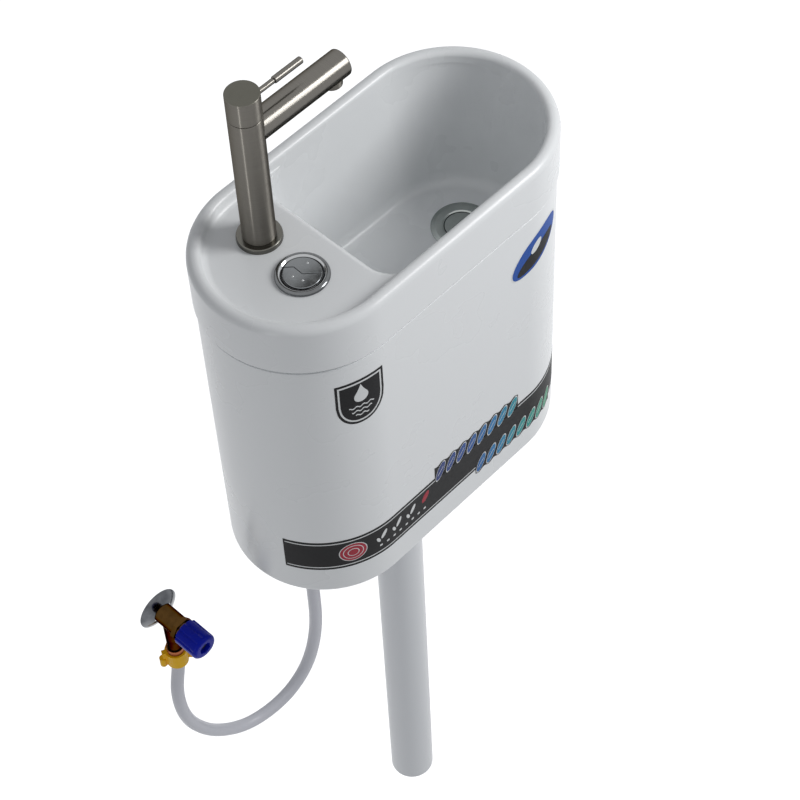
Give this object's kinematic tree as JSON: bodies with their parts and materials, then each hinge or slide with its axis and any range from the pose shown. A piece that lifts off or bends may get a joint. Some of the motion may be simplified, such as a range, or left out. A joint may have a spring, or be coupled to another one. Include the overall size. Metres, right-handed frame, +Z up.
{
  "type": "wall-hung flush cistern with hand basin",
  "caption": "Wall-hung flush cistern with a hand basin, column tap, dual flush button, flush and fill valves, flush pipe, supply hose and angle stop valve.",
  "frame": {"origin": "midway between the axes of the two wall bolts, on the face of the wall", "axes": "+Z up, +Y into the wall, +X to the right as seen from the room"},
  "size_m": [0.5575, 0.277, 1.4555],
  "materials": {
    "ceramic": "glossy white",
    "rubber_grey": "matte",
    "zinc": "zinc plated",
    "drain_steel": "polished",
    "nut_plastic": "matte",
    "pin_steel": "ground",
    "tap_steel": "brushed satin",
    "brass": "machined",
    "riser_plastic": "matte",
    "button_chrome": "polished",
    "valve_plastic": "matte",
    "spring_steel": "drawn wire",
    "valve_blue": "matte",
    "lever_orange": "matte",
    "seal_red": "matte",
    "float_blue": "glossy",
    "pipe_white": "satin white",
    "hose_white": "satin white",
    "chrome_thin": "polished",
    "yellow_plastic": "matte",
    "brass_cast": "cast, dull",
    "knob_blue": "glossy"
  },
  "bodies": {
    "frame": {"cistern_tank": "ceramic", "wall_pads": "rubber_grey", "wall_bolts": "zinc", "bolt_washers": "rubber_grey", "basin_top": "ceramic", "drain_flange": "drain_steel", "drain_gasket": "rubber_grey", "drain_nut": "nut_plastic", "drain_pin": "pin_steel", "tap_ring": "tap_steel", "tap_column": "tap_steel", "tap_spout": "tap_steel", "tap_aerator": "tap_steel", "tap_cartridge": "brass", "tap_shank": "brass", "tap_washer": "rubber_grey", "tap_nut": "brass", "tap_riser": "riser_plastic", "riser_nuts": "brass", "button_housing": "button_chrome", "button_nut": "nut_plastic", "flush_valve_body": "valve_plastic", "valve_cage": "valve_plastic", "flush_gasket": "rubber_grey", "flush_nut": "nut_plastic", "valve_bridge": "valve_blue", "rocker_pin": "pin_steel", "inlet_manifold": "valve_plastic", "inlet_washer": "rubber_grey", "inlet_nut": "nut_plastic", "fill_column": "valve_plastic", "fill_head": "valve_blue", "float_arm_pin": "pin_steel", "pipe_sleeve": "rubber_grey", "flush_pipe": "pipe_white", "supply_hose": "hose_white", "hose_nut": "chrome_thin", "wing_nut": "yellow_plastic", "stop_valve_body": "brass_cast", "wall_rosette": "chrome_thin", "full_flush_spring": "spring_steel", "half_flush_spring": "spring_steel"},
    "tap_handle": {"tap_cap": "tap_steel", "tap_lever": "tap_steel"},
    "full_button": {"full_flush_button": "button_chrome", "full_flush_rod": "valve_plastic"},
    "half_button": {"half_flush_button": "button_chrome", "half_flush_rod": "valve_plastic"},
    "full_lifter": {"full_rocker": "lever_orange"},
    "half_lifter": {"half_rocker": "lever_orange"},
    "valve_plug": {"overflow_tube": "valve_plastic", "flush_seal": "seal_red"},
    "half_float": {"half_flush_float": "valve_blue"},
    "water_float": {"float_cup": "float_blue"},
    "fill_arm": {"float_arm": "lever_orange"},
    "basin_plug": {"drain_flap": "drain_steel"},
    "stop_handle": {"stop_knob": "knob_blue", "knob_screw": "pin_steel", "stop_stem": "pin_steel"}
  },
  "joints": [
    {"name": "tap_turn", "type": "hinge", "parent": "frame", "child": "tap_handle", "pos_m": [-0.127, -0.071, 0.308], "axis": [0, 0, 1], "range_deg": [-90, 0]},
    {"name": "full_press", "type": "slide", "parent": "frame", "child": "full_button", "axis": [0, 0, -1], "range_m": [0, 0.005], "stiffness_N_per_m": 600, "springref_m": -0.004, "deforming": ["full_flush_spring"]},
    {"name": "half_press", "type": "slide", "parent": "frame", "child": "half_button", "axis": [0, 0, -1], "range_m": [0, 0.005], "stiffness_N_per_m": 600, "springref_m": -0.004, "deforming": ["half_flush_spring"]},
    {"name": "full_rock", "type": "hinge", "parent": "frame", "child": "full_lifter", "pos_m": [-0.10519, -0.14662, -0.135], "axis": [0, -1, 0], "range_deg": [0, 8.14]},
    {"name": "half_rock", "type": "hinge", "parent": "frame", "child": "half_lifter", "pos_m": [-0.10519, -0.13338, -0.135], "axis": [0, -1, 0], "range_deg": [0, 12.78]},
    {"name": "plug_lift", "type": "slide", "parent": "frame", "child": "valve_plug", "axis": [0, 0, 1], "range_m": [0, 0.01494]},
    {"name": "half_float_lift", "type": "slide", "parent": "frame", "child": "half_float", "axis": [0, 0, 1], "range_m": [0, 0.0141]},
    {"name": "float_fall", "type": "slide", "parent": "frame", "child": "water_float", "axis": [0, 0, -1], "range_m": [0, 0.012], "stiffness_N_per_m": 60, "springref_m": -0.02},
    {"name": "arm_fall", "type": "hinge", "parent": "frame", "child": "fill_arm", "pos_m": [-0.076, -0.0545, -0.091], "axis": [1, 0, 0], "range_deg": [0, 17.19]},
    {"name": "flap_tip", "type": "hinge", "parent": "frame", "child": "basin_plug", "pos_m": [0.127, -0.116, -0.057], "axis": [0, 1, 0], "range_deg": [-35, 0]},
    {"name": "stop_turn", "type": "hinge", "parent": "frame", "child": "stop_handle", "pos_m": [-0.299, -0.05, -0.481], "axis": [0, -1, 0], "range_deg": [0, 90]}
  ],
  "couplings": [
    {"joint": "full_rock", "follows": "full_press", "rad_per_m": 28.41},
    {"joint": "plug_lift", "follows": "full_press", "ratio": 2.988},
    {"joint": "half_rock", "follows": "half_press", "rad_per_m": 44.61},
    {"joint": "half_float_lift", "follows": "half_press", "ratio": 2.819},
    {"joint": "arm_fall", "follows": "float_fall", "rad_per_m": 25}
  ]
}
